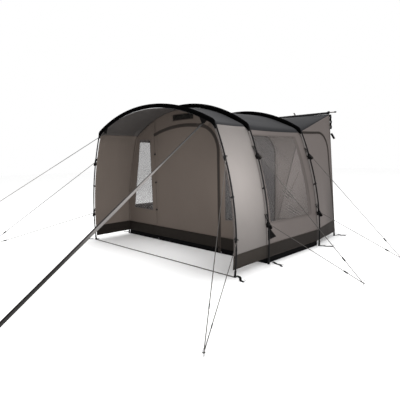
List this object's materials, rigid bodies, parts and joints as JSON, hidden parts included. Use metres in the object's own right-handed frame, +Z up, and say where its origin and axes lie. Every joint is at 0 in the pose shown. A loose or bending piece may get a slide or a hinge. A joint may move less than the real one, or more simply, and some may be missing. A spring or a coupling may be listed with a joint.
{
  "type": "drive-away awning",
  "caption": "Poled drive-away awning: open porch, enclosed room with clear side windows and zipped front door, connection tunnel, storm straps and pegged guy lines.",
  "frame": {"origin": "on the ground under the middle of the room's groundsheet", "axes": "+Z up, +X to the right seen from the open porch, the porch faces -Y and the vehicle side is +Y"},
  "size_m": [5.4418, 5.6507, 2.1344],
  "materials": {
    "pole_steel": "dark grey coated steel tube",
    "sleeve_black": "black woven pole sleeve",
    "roof_slate": "slate grey coated polyester",
    "wall_taupe": "taupe coated polyester",
    "mudwall_dark": "dark brown coated polyester",
    "groundsheet_black": "black laminated sheet",
    "window_film": "clear flexible film",
    "mesh_black": "black insect mesh",
    "webbing_grey": "flat grey webbing",
    "guy_cord": "braided cord and black webbing brackets",
    "peg_steel": "plated steel"
  },
  "bodies": {
    "root": {"pole_front": "pole_steel", "pole_mid": "pole_steel", "pole_rear": "pole_steel", "cross_pole": "pole_steel", "post_left": "pole_steel", "post_right": "pole_steel", "sleeve_front": "sleeve_black", "sleeve_mid": "sleeve_black", "sleeve_rear": "sleeve_black", "sleeve_back": "sleeve_black", "roof_porch": "roof_slate", "roof_room": "roof_slate", "roof_tunnel": "roof_slate", "porch_wall_left": "wall_taupe", "porch_wall_right": "wall_taupe", "room_wall_left": "wall_taupe", "room_wall_right": "wall_taupe", "tunnel_wall_left": "wall_taupe", "tunnel_wall_right": "wall_taupe", "tunnel_door_left": "wall_taupe", "tunnel_door_right": "wall_taupe", "front_wall": "wall_taupe", "front_door": "wall_taupe", "back_wall": "wall_taupe", "mudwall_left": "mudwall_dark", "mudwall_right": "mudwall_dark", "mudwall_front_left": "mudwall_dark", "mudwall_front_right": "mudwall_dark", "groundsheet": "groundsheet_black", "room_window_left": "window_film", "room_window_right": "window_film", "front_window_left": "window_film", "front_window_right": "window_film", "front_vent": "mesh_black", "back_door": "mesh_black", "ground_strap": "webbing_grey", "storm_strap_left": "webbing_grey", "storm_strap_right": "webbing_grey", "guy_front_left": "guy_cord", "guy_front_right": "guy_cord", "guy_mid_left": "guy_cord", "guy_mid_right": "guy_cord", "guy_rear_left": "guy_cord", "guy_rear_right": "guy_cord", "peg_front_left": "peg_steel", "peg_front_right": "peg_steel", "peg_mid_left": "peg_steel", "peg_mid_right": "peg_steel", "peg_rear_left": "peg_steel", "peg_rear_right": "peg_steel", "storm_peg_left": "peg_steel", "storm_peg_right": "peg_steel"}
  },
  "joints": []
}
